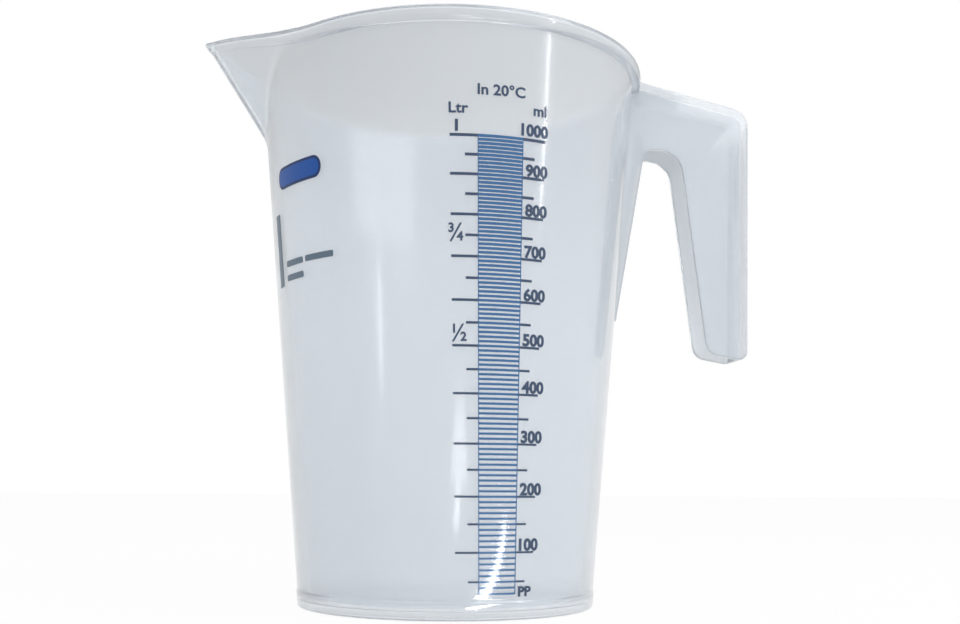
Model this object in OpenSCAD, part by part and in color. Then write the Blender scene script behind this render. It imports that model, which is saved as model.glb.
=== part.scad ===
// A one-litre measuring jug moulded from translucent polypropylene.
// Origin: centre of the standing ring on the table plane. Handle toward +X, spout toward -X,
// scale on the -Y side. Millimetres, up is +Z.

/* [Body] */
// Outer diameter of the conical wall at the table
base_d = 90.5; // [84:0.5:96]
// Outer diameter of the conical wall at the rim
rim_d = 120; // [114:0.5:126]
// Height of the round rim above the table
body_h = 168; // [160:1:178]
// Thickness of the wall, measured level
wall_t = 1.8; // [1.4:0.1:2.2]
// Thickness of the floor
floor_t = 1.8; // [1.4:0.1:2.4]
// Clear space between the floor and the table
floor_lift = 0.6; // [0.3:0.1:1]
// Height of the ring the jug stands on
foot_h = 5.6; // [4.5:0.1:6]
// How far the standing ring is proud of the wall
foot_proud = 0.4; // [0.2:0.1:0.8]

/* [Rim] */
// Height of the bead around the rim
bead_h = 4.3; // [3.5:0.1:5.5]
// How far the bead is proud of the wall at the rim
bead_proud = 1.9; // [1.4:0.1:2.4]
// Rounding of the bead's outer edges
bead_round = 0.8; // [0.4:0.1:1.1]

/* [Spout] */
// Half of the angle of wall that opens into the spout
spout_half_angle = 40; // [37:1:43]
// Drop from the rim to where the keel leaves the wall
keel_drop = 23; // [18:1:26]
// Lean of the keel away from upright
keel_angle = 32.2; // [30:0.1:35]
// Rounding along the keel, outside
keel_round = 4; // [3:0.1:5]
// Height of the spout's tip above the rim
tip_rise = 9.1; // [6:0.1:11]
// Drop from the rim to the lower edge of the wall patch that carries the spout
spout_patch_drop = 30; // [28:1:34]
// Height of the spout's lip at the tip; where it meets the bead it is as high as the bead
lip_tip_h = 1.6; // [1.2:0.1:2.4]
// How far the lip is proud of the spout at the tip
lip_tip_proud = 0.6; // [0.4:0.1:1]

/* [Handle] */
// Width of the handle across both cheeks
handle_w = 15; // [13:0.5:19]
// Thickness of each cheek
cheek_t = 2; // [1.6:0.1:2.6]
// Thickness of the spine that joins the cheeks
spine_t = 2.2; // [1.8:0.1:2.8]
// Drop from the rim to the handle's top at the bead
handle_drop = 0.4; // [0.4:0.1:1.5]
// Downward slope of the handle's top
top_slope = 12.5; // [9:0.5:15]
// Reach of the handle's outer corner beyond the rim
handle_out = 38.6; // [34:0.2:44]
// Inward lean of the arm's outer face
arm_outer_lean = 1.4; // [0:0.1:3]
// Inward lean of the arm's inner face
arm_inner_lean = 6.6; // [4:0.1:8]
// Width of the arm at its free end
arm_end_w = 13.4; // [11:0.1:15]
// Drop from the rim to the arm's free end
arm_drop = 89.8; // [78:0.2:98]
// Rounding of the handle's outer corner
corner_round = 6; // [4:0.5:8]
// Rounding of the arm's free end
end_round = 4.5; // [3:0.1:5]
// Drop from the rim to the top of the finger gap
gap_drop = 22.2; // [20:0.1:25]
// Rounding of the finger gap's upper corners
gap_round = 5; // [3:0.1:5.4]
// Drop from the rim to where the ribs take over from the cheeks
rib_drop = 29.4; // [29:0.1:32]
// How far the ribs are proud of the wall at their top
rib_top_proud = 5; // [4:0.1:6]
// Length of the ribs, measured upright
rib_length = 49.6; // [38:0.1:58]
// How far the ribs are proud of the wall at their lower end
rib_end_proud = 0.4; // [0.3:0.1:1]

/* [Scale] */
// Drop from the rim to the full mark, which is one litre at the default sizes
full_mark_drop = 35.5; // [34:0.1:40]
// Volume that the full mark is numbered with, in millilitres
full_volume_ml = 1000; // [500:500:1000]
// Number of equal divisions up to the full mark
divisions = 100; // [50:50:100]
// Number of numbered marks up to the full mark
numbered_marks = 10; // [5:5:10]
// First division that is printed
first_division = 3; // [3:1:5]
// Height of one printed line
line_h = 0.5; // [0.3:0.05:0.55]
// Thickness of the ink layer
ink_t = 0.15; // [0.1:0.05:0.3]
// Direction of the middle of the scale seen from above
scale_angle = -79.6; // [-100:0.1:-70]
// Half of the angle the ladder of lines covers
ladder_half_angle = 6.7; // [5:0.1:8]
// Angle covered by one side rail
rail_angle = 0.4; // [0.2:0.05:0.8]
// Angle covered by a short tick
short_tick_angle = 3.6; // [2.5:0.1:5]
// Angle covered by a long tick
long_tick_angle = 7.8; // [6:0.1:10]
// Height of the numerals
numeral_h = 3.3; // [2.6:0.1:3.6]
// Height of the heading letters
heading_h = 3; // [2.4:0.1:3.2]
// Width of one letter as a share of its height
letter_w_share = 0.56; // [0.45:0.01:0.65]
// Space between letters as a share of their height
letter_gap_share = 0.28; // [0.24:0.01:0.4]
// Stroke thickness as a share of the letter height
stroke_share = 0.17; // [0.12:0.01:0.2]
// Space between a numeral and the line below it
numeral_lift = 0.5; // [0.3:0.1:0.8]
// Space between the ladder and the numerals
numeral_clearance = 0.5; // [0.3:0.1:1.2]
// Distance along the wall from the ladder to the middle of the litre fractions
fraction_offset = 6.4; // [5:0.1:8]
// Height of the unit headings above the full mark
unit_lift = 4.8; // [4.6:0.1:6]
// Height of the temperature mark above the full mark
temperature_lift = 10.4; // [9.5:0.1:12]
// Space between the standing ring and the material mark above it
material_lift = 1; // [0.6:0.1:1.4]

/* [Marking panel] */
// Direction of the panel's left edge seen from above
panel_angle = -160; // [-165:1:-150]
// Angle covered by the panel's header bar
panel_header_angle = 24; // [20:1:30]
// Drop from the rim to the header bar's lower edge
panel_drop = 43.5; // [40:0.5:50]
// Height of the header bar
panel_header_h = 6.5; // [4:0.5:9]
// Angle covered by the panel's upright rule
panel_rule_angle = 1; // [0.6:0.1:2]
// Length of the upright rule
panel_rule_h = 22; // [16:0.5:30]
// Angle between the panel's left edge and its rows of bars
panel_row_angle = 4; // [3:0.5:8]
// Angle covered by a short bar
short_bar_angle = 8.5; // [6:0.5:10]
// Angle covered by a long bar
long_bar_angle = 12.5; // [8:0.5:14]
// Angle between two bars of a row
bar_gap_angle = 1.4; // [1:0.1:3]
// Height of a bar
bar_h = 1.8; // [1:0.1:2.4]
// Height of the upper row above the lower row
row_pitch = 4.2; // [3:0.1:5]

/* [Hidden] */
$fn = 96;
// How far the keel's sharp line lies outside its rounding, as a share of the rounding
sharp_share = 0.16;
// Where the spout's sides meet the rim, as a share of the bead's depth
beak_rim_share = 0.5;
// Number of narrow flats that round the keel
keel_flats = 6;
// How far a rounding's circle runs past the straights it joins, as a share of its radius
overrun_share = 0.002;
taper = (rim_d - base_d) / 2 / body_h;
keel_root_h = body_h - keel_drop;
spout_patch_h = body_h - spout_patch_drop;
handle_reach = rim_d / 2 + handle_out;
arm_end_h = body_h - arm_drop;
gap_top_h = body_h - gap_drop;
rib_top_h = body_h - rib_drop;
rib_end_h = rib_top_h - rib_length;
full_mark_h = body_h - full_mark_drop;
panel_header_z = body_h - panel_drop;
panel_low_z = panel_header_z - panel_header_h - panel_rule_h;
cut = wall_t;
floor_top_h = floor_lift + floor_t;
bead_r = rim_d / 2 + bead_proud;
inner_floor_r = wall_r(floor_top_h) - wall_t;
inner_full_r = wall_r(full_mark_h) - wall_t;
mark_step = divisions / numbered_marks;
half_step = mark_step / 2;
tip_h = body_h + tip_rise;
beak_rim_r = rim_d / 2 + bead_proud * beak_rim_share;
keel_section_angle = atan(tan(beak_half(beak_rim_r, sharp_r(body_h))) / cos(keel_angle));
lip_section_angle = atan(tan(beak_half(bead_r, sharp_r(body_h) + lip_tip_proud)) / cos(keel_angle));
edge_x = rim_d / 2 * cos(spout_half_angle);
edge_slope = atan(tip_rise / (sharp_r(tip_h) - edge_x));
lip_slope = atan((tip_rise + bead_h - lip_tip_h) / (sharp_r(tip_h) - edge_x));
handle_in_x = wall_r(arm_end_h) - wall_t;
corner_h = handle_top(handle_reach);
inner_end_x = arm_outer_x(arm_end_h) - arm_end_w;

// Radius of the wall's outer face at a height.
function wall_r(z) = base_d / 2 + taper * z;
// Height at which a share of the full volume stands.
function mark_h(share) = floor_top_h + (pow(pow(inner_floor_r, 3)
    + share * (pow(inner_full_r, 3) - pow(inner_floor_r, 3)), 1 / 3) - inner_floor_r) / taper;
// Distance from the axis to the keel's sharp line before it is rounded.
function sharp_r(z) = wall_r(keel_root_h) + (z - keel_root_h) * tan(keel_angle) + keel_round * sharp_share;
// Half of the spout's plan angle that meets a rim of radius r.
function beak_half(r, apex) = atan(r * sin(spout_half_angle) / (apex - r * cos(spout_half_angle)));
// Height of the handle's top at a distance from the axis.
function handle_top(x) = body_h - handle_drop - (x - bead_r) * tan(top_slope);
// Distance from the axis to the arm's outer and inner faces at a height.
function arm_outer_x(z) = handle_reach - (corner_h - z) * tan(arm_outer_lean);
function arm_inner_x(z) = inner_end_x - (z - arm_end_h) * tan(arm_inner_lean);
// Distance from the axis to the rib's outer edge at a height.
function rib_x(z) = wall_r(z) + rib_end_proud
    + (z - rib_end_h) / (rib_top_h - rib_end_h) * (rib_top_proud - rib_end_proud);

// Unit vector and corner helpers for profiles with rounded corners.
function unit(v) = v / norm(v);
function turn(a, p, b) = (p[0] - a[0]) * (b[1] - p[1]) - (p[1] - a[1]) * (b[0] - p[0]);
function half_turn(a, p, b) = acos(unit(a - p) * unit(b - p)) / 2;
function corner_centre(a, p, b, r) = p + unit(unit(a - p) + unit(b - p)) * r / sin(half_turn(a, p, b));
function before(list, i) = list[(i + len(list) - 1) % len(list)];
function after(list, i) = list[(i + 1) % len(list)];

// A closed profile, counter-clockwise, whose corners carry their own radii.
module rounded(points, radii) {
    count = len(points);
    chain = [for (i = [0 : count - 1]) each radii[i] == 0 ? [points[i]] : [
        points[i] + unit(before(points, i) - points[i])
            * radii[i] / tan(half_turn(before(points, i), points[i], after(points, i))),
        points[i] + unit(after(points, i) - points[i])
            * radii[i] / tan(half_turn(before(points, i), points[i], after(points, i)))]];
    difference() {
        union() {
            polygon(chain);
            for (i = [0 : count - 1])
                if (radii[i] > 0 && turn(before(points, i), points[i], after(points, i)) > 0)
                    translate(corner_centre(before(points, i), points[i], after(points, i), radii[i]))
                        circle(r = radii[i] * (1 + overrun_share));
        }
        for (i = [0 : count - 1])
            if (radii[i] > 0 && turn(before(points, i), points[i], after(points, i)) < 0)
                translate(corner_centre(before(points, i), points[i], after(points, i), radii[i]))
                    circle(r = radii[i] * (1 + overrun_share));
    }
}

// Solid cone that follows the wall's outer face, drawn in by inset.
module wall_cone(z0, z1, inset) {
    translate([0, 0, z0])
        cylinder(h = z1 - z0, r1 = wall_r(z0) - inset, r2 = wall_r(z1) - inset);
}

// Wedge of space on the spout side, above the patch's lower edge.
module spout_sector() {
    reach = 2 * sharp_r(tip_h);
    translate([0, 0, spout_patch_h])
        linear_extrude(tip_h + tip_rise - spout_patch_h)
            polygon([[0, 0], [-reach * cos(spout_half_angle), reach * sin(spout_half_angle)],
                [-reach, 0], [-reach * cos(spout_half_angle), -reach * sin(spout_half_angle)]]);
}

// Prism whose blunt edge runs along the keel; section_angle is half of its opening. The edge is
// rounded by narrow flats that touch a circle of edge_round at their corners.
module beak(apex_out, section_angle, inset, edge_round) {
    depth = rim_d / 2;
    along = (tip_h - spout_patch_h) * 2;
    apex = apex_out * cos(keel_angle) - inset / sin(section_angle);
    centre = apex - edge_round / sin(section_angle);
    sweep = 90 - section_angle;
    rotate([0, 0, 180])
        translate([sharp_r(keel_root_h), 0, keel_root_h])
            rotate([0, keel_angle, 0])
                translate([0, 0, -along / 2])
                    linear_extrude(along * 3 / 2)
                        polygon(concat(
                            [for (i = [0 : keel_flats])
                                let (a = sweep * (2 * i / keel_flats - 1))
                                [centre + edge_round * cos(a), edge_round * sin(a)]],
                            [[apex - depth, depth * tan(section_angle)],
                                [apex - depth, -depth * tan(section_angle)]]));
}

// Everything in front of the wall on the spout side, drawn in by inset.
module spout_front(inset) {
    top = tip_h + tip_rise;
    reach = 2 * sharp_r(tip_h);
    rotate([0, 0, 180 - spout_half_angle])
        rotate_extrude(angle = 2 * spout_half_angle)
            polygon([[wall_r(spout_patch_h) - inset, spout_patch_h], [reach, spout_patch_h],
                [reach, top], [wall_r(top) - inset, top]]);
}

// Everything below the slanting plane that ends the spout; drop lowers its rim end.
module below_edge(slope, drop) {
    reach = 2 * sharp_r(tip_h);
    rotate([0, 0, 180])
        translate([edge_x, 0, body_h - drop])
            rotate([0, -slope, 0])
                translate([-reach, -reach, -reach])
                    cube([2 * reach, 2 * reach, reach]);
}

// Outline of a cheek of the handle, drawn in the plane of handle and spout.
module cheek_outline() {
    rounded([[handle_in_x, rib_top_h], [rib_x(rib_top_h), rib_top_h], [rib_x(gap_top_h), gap_top_h],
        [arm_inner_x(gap_top_h), gap_top_h], [inner_end_x, arm_end_h],
        [arm_outer_x(arm_end_h), arm_end_h], [handle_reach, corner_h],
        [handle_in_x, handle_top(handle_in_x)]],
        [0, 0, gap_round, gap_round, end_round, end_round, corner_round, 0]);
}

// Outline of the open channel between the cheeks.
module channel_outline() {
    low = arm_end_h - end_round;
    inner_corner_x = handle_reach - spine_t / cos(arm_outer_lean) - spine_t * tan(arm_outer_lean);
    rounded([[0, low], [arm_outer_x(low) - spine_t / cos(arm_outer_lean), low],
        [inner_corner_x, handle_top(inner_corner_x) - spine_t / cos(top_slope)],
        [0, handle_top(0) - spine_t / cos(top_slope)]],
        [0, 0, corner_round - spine_t, 0]);
}

// Stands a drawn profile upright, width thick, with its near face at y.
module upright(y, width) {
    translate([0, y + width, 0])
        rotate([90, 0, 0])
            linear_extrude(width)
                children();
}

// What the handle has to keep clear of: the wall and the bead.
module handle_seat() {
    wall_cone(0, body_h + bead_h, 0);
    translate([0, 0, body_h - bead_h])
        cylinder(h = 2 * bead_h, r = bead_r);
}

module body_wall() {
    color([0.86, 0.9, 0.93])
        difference() {
            wall_cone(foot_h, body_h, 0);
            wall_cone(foot_h - cut, body_h + cut, wall_t);
            spout_sector();
        }
}

module base_floor() {
    color([0.84, 0.88, 0.92])
        translate([0, 0, floor_lift])
            cylinder(h = floor_t, r1 = wall_r(floor_lift) - wall_t, r2 = inner_floor_r);
}

module foot_ring() {
    color([0.84, 0.88, 0.92])
        difference() {
            wall_cone(0, foot_h, -foot_proud);
            wall_cone(-cut, foot_h + cut, wall_t);
        }
}

module rim_bead() {
    low = body_h - bead_h;
    color([0.88, 0.92, 0.95])
        rotate([0, 0, spout_half_angle - 180])
            rotate_extrude(angle = 360 - 2 * spout_half_angle)
                rounded([[wall_r(low), low], [bead_r, low], [bead_r, body_h], [wall_r(body_h), body_h]],
                    [0, bead_round, bead_round, 0]);
}

module spout() {
    color([0.86, 0.9, 0.93])
        difference() {
            intersection() {
                union() {
                    beak(0, keel_section_angle, 0, keel_round);
                    wall_cone(spout_patch_h, tip_h, 0);
                }
                spout_front(wall_t);
                below_edge(edge_slope, 0);
            }
            beak(0, keel_section_angle, wall_t, keel_round - wall_t);
        }
}

module spout_lip() {
    color([0.88, 0.92, 0.95])
        difference() {
            intersection() {
                beak(lip_tip_proud, lip_section_angle, 0, keel_round);
                spout_front(0);
                below_edge(edge_slope, 0);
            }
            below_edge(lip_slope, bead_h);
            beak(0, keel_section_angle, 0, keel_round);
        }
}

module handle_spine() {
    color([0.86, 0.9, 0.93])
        difference() {
            upright(cheek_t - handle_w / 2, handle_w - 2 * cheek_t)
                difference() {
                    cheek_outline();
                    channel_outline();
                }
            handle_seat();
        }
}

module cheek(y) {
    difference() {
        upright(y, cheek_t)
            cheek_outline();
        handle_seat();
    }
}

module handle_cheek_front() {
    color([0.87, 0.91, 0.94])
        cheek(-handle_w / 2);
}

module handle_cheek_back() {
    color([0.87, 0.91, 0.94])
        cheek(handle_w / 2 - cheek_t);
}

module rib(y) {
    difference() {
        upright(y, cheek_t)
            polygon([[handle_in_x, rib_end_h], [rib_x(rib_end_h), rib_end_h],
                [rib_x(rib_top_h), rib_top_h], [handle_in_x, rib_top_h]]);
        wall_cone(0, body_h, 0);
    }
}

module handle_rib_front() {
    color([0.86, 0.9, 0.93])
        rib(-handle_w / 2);
}

module handle_rib_back() {
    color([0.86, 0.9, 0.93])
        rib(handle_w / 2 - cheek_t);
}

// A patch of ink on the cone between two directions and two heights.
module ink_patch(a0, a1, z0, z1) {
    rotate([0, 0, a0])
        rotate_extrude(angle = a1 - a0)
            polygon([[wall_r(z0), z0], [wall_r(z0) + ink_t, z0],
                [wall_r(z1) + ink_t, z1], [wall_r(z1), z1]]);
}

// A printed line centred on the height of a division.
module ink_line(a0, a1, division) {
    z = mark_h(division / divisions);
    ink_patch(a0, a1, z - line_h / 2, z + line_h / 2);
}

ladder_left = scale_angle - ladder_half_angle;
ladder_right = scale_angle + ladder_half_angle;
ladder_low_h = mark_h(first_division / divisions) - line_h / 2;
ladder_high_h = full_mark_h + line_h / 2;

module scale_lines() {
    color([0.25, 0.39, 0.56])
        for (i = [first_division : divisions])
            ink_line(ladder_left + rail_angle, ladder_right - rail_angle, i);
}

module scale_rails() {
    color([0.25, 0.39, 0.56])
        for (a = [ladder_left, ladder_right - rail_angle])
            ink_patch(a, a + rail_angle, ladder_low_h, ladder_high_h);
}

module litre_ticks() {
    color([0.22, 0.3, 0.45])
        for (i = [half_step : half_step : divisions])
            ink_line(ladder_left - (i % mark_step == 0 ? long_tick_angle : short_tick_angle),
                ladder_left, i);
}

module millilitre_ticks() {
    color([0.22, 0.3, 0.45])
        for (i = [half_step : half_step : divisions])
            ink_line(ladder_right,
                ladder_right + (i % mark_step == 0 ? long_tick_angle : short_tick_angle), i);
}

// Strokes of each sign: pairs of points as shares of the letter's width and height.
glyph_shares = [
    ["0", [[[0, 0], [1, 0]], [[1, 0], [1, 1]], [[1, 1], [0, 1]], [[0, 1], [0, 0]]]],
    ["1", [[[0.55, 0], [0.55, 1]], [[0.55, 1], [0.15, 0.75]]]],
    ["2", [[[0, 1], [1, 1]], [[1, 1], [1, 0.55]], [[1, 0.55], [0, 0]], [[0, 0], [1, 0]]]],
    ["3", [[[0, 1], [1, 1]], [[1, 1], [1, 0]], [[1, 0], [0, 0]], [[0.3, 0.5], [1, 0.5]]]],
    ["4", [[[0.75, 0], [0.75, 1]], [[0.75, 1], [0, 0.3]], [[0, 0.3], [1, 0.3]]]],
    ["5", [[[1, 1], [0, 1]], [[0, 1], [0, 0.55]], [[0, 0.55], [1, 0.55]], [[1, 0.55], [1, 0]],
        [[1, 0], [0, 0]]]],
    ["6", [[[1, 1], [0, 1]], [[0, 1], [0, 0]], [[0, 0], [1, 0]], [[1, 0], [1, 0.5]], [[1, 0.5], [0, 0.5]]]],
    ["7", [[[0, 1], [1, 1]], [[1, 1], [0.35, 0]]]],
    ["8", [[[0, 0], [1, 0]], [[1, 0], [1, 1]], [[1, 1], [0, 1]], [[0, 1], [0, 0]], [[0, 0.5], [1, 0.5]]]],
    ["9", [[[0, 0], [1, 0]], [[1, 0], [1, 1]], [[1, 1], [0, 1]], [[0, 1], [0, 0.5]], [[0, 0.5], [1, 0.5]]]],
    ["m", [[[0, 0], [0, 0.65]], [[0, 0.65], [1, 0.65]], [[1, 0.65], [1, 0]], [[0.5, 0.65], [0.5, 0]]]],
    ["l", [[[0.5, 0], [0.5, 1]]]],
    ["L", [[[0, 1], [0, 0]], [[0, 0], [1, 0]]]],
    ["t", [[[0.4, 1], [0.4, 0]], [[0.4, 0], [0.9, 0]], [[0, 0.65], [0.9, 0.65]]]],
    ["r", [[[0.1, 0], [0.1, 0.65]], [[0.1, 0.65], [0.8, 0.65]]]],
    ["I", [[[0.5, 0], [0.5, 1]]]],
    ["n", [[[0, 0], [0, 0.65]], [[0, 0.65], [1, 0.65]], [[1, 0.65], [1, 0]]]],
    ["o", [[[0.1, 0.7], [0.6, 0.7]], [[0.6, 0.7], [0.6, 1]], [[0.6, 1], [0.1, 1]], [[0.1, 1], [0.1, 0.7]]]],
    ["C", [[[1, 1], [0, 1]], [[0, 1], [0, 0]], [[0, 0], [1, 0]]]],
    ["P", [[[0, 0], [0, 1]], [[0, 1], [1, 1]], [[1, 1], [1, 0.5]], [[1, 0.5], [0, 0.5]]]],
    ["/", [[[0, 0], [1, 1]]]]];

// A straight stroke between two points, half a stroke longer at each end.
module stroke(p, q, width) {
    translate(p)
        rotate(atan2(q[1] - p[1], q[0] - p[0]))
            translate([-width / 2, -width / 2])
                square([norm(q - p) + width, width]);
}

// One sign drawn flat; its lower left corner is at the origin.
module glyph(sign, size) {
    width = size * stroke_share;
    span = [size * letter_w_share - width, size - width];
    shift = [width / 2, width / 2];
    for (pair = glyph_shares[search([sign], glyph_shares)[0]][1])
        stroke([pair[0][0] * span[0], pair[0][1] * span[1]] + shift,
            [pair[1][0] * span[0], pair[1][1] * span[1]] + shift, width);
}

// Length of a word of signs.
function word_run(word, size) = size * (len(word) * (letter_w_share + letter_gap_share) - letter_gap_share);

// A word of signs in ink on the cone; its left edge lies a distance along the wall from a direction.
module ink_word(word, size, direction, along, z) {
    pitch = size * (letter_w_share + letter_gap_share);
    run = word_run(word, size);
    mid = direction + (along + run / 2) / wall_r(z) * 180 / PI;
    intersection() {
        rotate([0, 0, mid + 90])
            translate([-run / 2, 0, z])
                rotate([90, 0, 0])
                    linear_extrude(wall_r(z + size) + size)
                        for (i = [0 : len(word) - 1])
                            translate([i * pitch, 0])
                                glyph(word[i], size);
        difference() {
            wall_cone(z - size, z + 2 * size, -ink_t);
            wall_cone(z - 2 * size, z + 3 * size, 0);
        }
    }
}

module millilitre_numerals() {
    color([0.15, 0.2, 0.34])
        for (i = [mark_step : mark_step : divisions]) {
            z = mark_h(i / divisions) + line_h / 2 + numeral_lift;
            ink_word(str(i * full_volume_ml / divisions), numeral_h, ladder_right, numeral_clearance, z);
        }
}

// A fraction set left of the ladder, on the line of its division.
module litre_fraction(word, division) {
    ink_word(word, numeral_h, ladder_left, -fraction_offset - word_run(word, numeral_h) / 2,
        mark_h(division / divisions) + line_h / 2 + numeral_lift);
}

module litre_fractions() {
    color([0.15, 0.2, 0.34]) {
        litre_fraction("1", divisions);
        litre_fraction("3/4", divisions * 3 / 4);
        litre_fraction("1/2", divisions / 2);
    }
}

module unit_marks() {
    z = full_mark_h + unit_lift;
    color([0.15, 0.2, 0.34]) {
        ink_word("Ltr", heading_h, ladder_left - long_tick_angle, 0, z);
        ink_word("ml", heading_h, ladder_right + short_tick_angle, 0, z);
    }
}

module temperature_mark() {
    color([0.15, 0.2, 0.34])
        ink_word("In 20oC", heading_h, ladder_left, 0, full_mark_h + temperature_lift);
}

module material_mark() {
    color([0.15, 0.2, 0.34])
        ink_word("PP", heading_h, ladder_right + short_tick_angle, numeral_clearance, foot_h + material_lift);
}

// A bar of the panel; start is measured from the panel's left edge.
module panel_bar(start, angle, z0, z1) {
    ink_patch(panel_angle + start, panel_angle + start + angle, z0, z1);
}

module marking_panel() {
    low_row_z = panel_low_z + bar_h / 2;
    high_row_z = low_row_z + row_pitch;
    color([0.16, 0.33, 0.6]) {
        panel_bar(0, panel_header_angle, panel_header_z, panel_header_z + panel_header_h);
        panel_bar(0, panel_rule_angle, panel_low_z, panel_header_z - panel_header_h);
        for (z = [low_row_z, high_row_z])
            panel_bar(panel_row_angle, short_bar_angle, z, z + bar_h);
        panel_bar(panel_row_angle + short_bar_angle + bar_gap_angle, long_bar_angle,
            high_row_z, high_row_z + bar_h);
    }
}

body_wall();
base_floor();
foot_ring();
rim_bead();
spout();
spout_lip();
handle_spine();
handle_cheek_front();
handle_cheek_back();
handle_rib_front();
handle_rib_back();
scale_lines();
scale_rails();
litre_ticks();
millilitre_ticks();
millilitre_numerals();
litre_fractions();
unit_marks();
temperature_mark();
material_mark();
marking_panel();
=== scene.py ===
"""Looks of a one-litre measuring jug: a translucent moulded shell, its handle and the ink on it.

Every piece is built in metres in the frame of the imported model: up is +Z, the handle points
along +X, the spout along -X and the printed scale is on the -Y side.
"""

from __future__ import annotations

import logging
import math
from dataclasses import dataclass, field
from enum import Enum
from typing import Any, Sequence

import bmesh
import bpy
import numpy as np
from bpy.types import ID, Material, Mesh, Node, NodeSocket, NodeTree, Object
from mathutils import Matrix, Vector


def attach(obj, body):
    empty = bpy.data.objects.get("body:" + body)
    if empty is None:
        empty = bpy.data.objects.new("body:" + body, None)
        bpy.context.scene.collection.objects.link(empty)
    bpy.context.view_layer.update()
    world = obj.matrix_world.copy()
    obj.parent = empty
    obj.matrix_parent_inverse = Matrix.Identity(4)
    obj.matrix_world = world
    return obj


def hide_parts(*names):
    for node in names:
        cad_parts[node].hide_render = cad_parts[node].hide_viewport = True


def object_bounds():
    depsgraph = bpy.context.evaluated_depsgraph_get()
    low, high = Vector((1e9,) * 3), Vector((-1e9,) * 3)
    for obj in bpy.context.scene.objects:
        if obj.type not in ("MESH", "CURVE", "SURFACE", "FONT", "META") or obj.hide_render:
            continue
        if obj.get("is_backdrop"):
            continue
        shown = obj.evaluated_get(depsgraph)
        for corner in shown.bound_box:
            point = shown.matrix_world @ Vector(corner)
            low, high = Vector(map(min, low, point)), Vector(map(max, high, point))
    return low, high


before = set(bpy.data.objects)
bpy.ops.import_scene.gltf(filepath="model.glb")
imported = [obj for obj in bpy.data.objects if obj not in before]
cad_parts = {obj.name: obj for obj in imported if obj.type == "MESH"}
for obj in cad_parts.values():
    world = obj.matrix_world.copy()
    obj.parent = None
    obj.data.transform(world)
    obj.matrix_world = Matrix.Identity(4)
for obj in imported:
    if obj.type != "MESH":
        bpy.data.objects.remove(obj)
CAD_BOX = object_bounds()

MM = 0.001
# points that lie closer than this, in metres, are one
WELD = 1e-7
BODY = "root"
LOG = logging.getLogger("measuring_jug")


def linear(hex_colour: str) -> tuple[float, float, float, float]:
    """Turns an sRGB hex colour into linear light, by the formula of the sRGB standard.

    Args:
        hex_colour: A colour such as "#D2D9E1".

    Returns:
        Red, green and blue, and 1 for alpha.
    """
    shares = [int(hex_colour[i:i + 2], 16) / 255 for i in (1, 3, 5)]
    red, green, blue = (s / 12.92 if s <= 0.04045 else ((s + 0.055) / 1.055) ** 2.4 for s in shares)
    return red, green, blue, 1.0


def add(tree: NodeTree, kind: str, inputs: dict[Any, Any] | None = None, **settings: Any) -> Node:
    """Adds a node to a tree with its settings, values and links.

    Args:
        tree: The tree that takes the node.
        kind: Blender's name for the node's type.
        inputs: Input name or number to a value, or to the socket that feeds it.
        **settings: Properties of the node itself.

    Returns:
        The new node.
    """
    node = tree.nodes.new(kind)
    for name, value in settings.items():
        setattr(node, name, value)
    for name, value in (inputs or {}).items():
        if isinstance(value, NodeSocket):
            tree.links.new(value, node.inputs[name])
        else:
            node.inputs[name].default_value = value
    return node


def bare_material(name: str) -> Material:
    """Makes a material whose tree is still empty.

    Args:
        name: The material's name.

    Returns:
        The material.
    """
    material = bpy.data.materials.new(name)
    material.use_nodes = True
    material.node_tree.nodes.clear()
    return material


def new_object(name: str, data: ID) -> Object:
    """Puts a mesh, a word, a lamp or a camera in the scene.

    Args:
        name: The object's name.
        data: What it shows or does.

    Returns:
        The object, at the origin.
    """
    made = bpy.data.objects.new(name, data)
    bpy.context.scene.collection.objects.link(made)
    return made


def final_mesh(source: Object) -> Mesh:
    """Gives a mesh of an object's final shape, with its modifiers or its letters worked out."""
    bpy.context.view_layer.update()
    return bpy.data.meshes.new_from_object(source.evaluated_get(bpy.context.evaluated_depsgraph_get()))


def smooth(mesh: Mesh, sharp_deg: float = 35.0) -> None:
    """Shades a mesh smooth, except across edges that bend more than an angle."""
    mesh.shade_smooth()
    mesh.set_sharp_from_angle(angle=math.radians(sharp_deg))


class Slot(Enum):
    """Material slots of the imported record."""

    SHELL = "translucent_shell"
    SCALE = "scale_ink"
    NUMERAL = "numeral_ink"
    PANEL = "panel_ink"


class Growth(Enum):
    """Which way a printed tick grows from its anchor."""

    RIGHT = 0.0
    LEFT = 1.0


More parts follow.
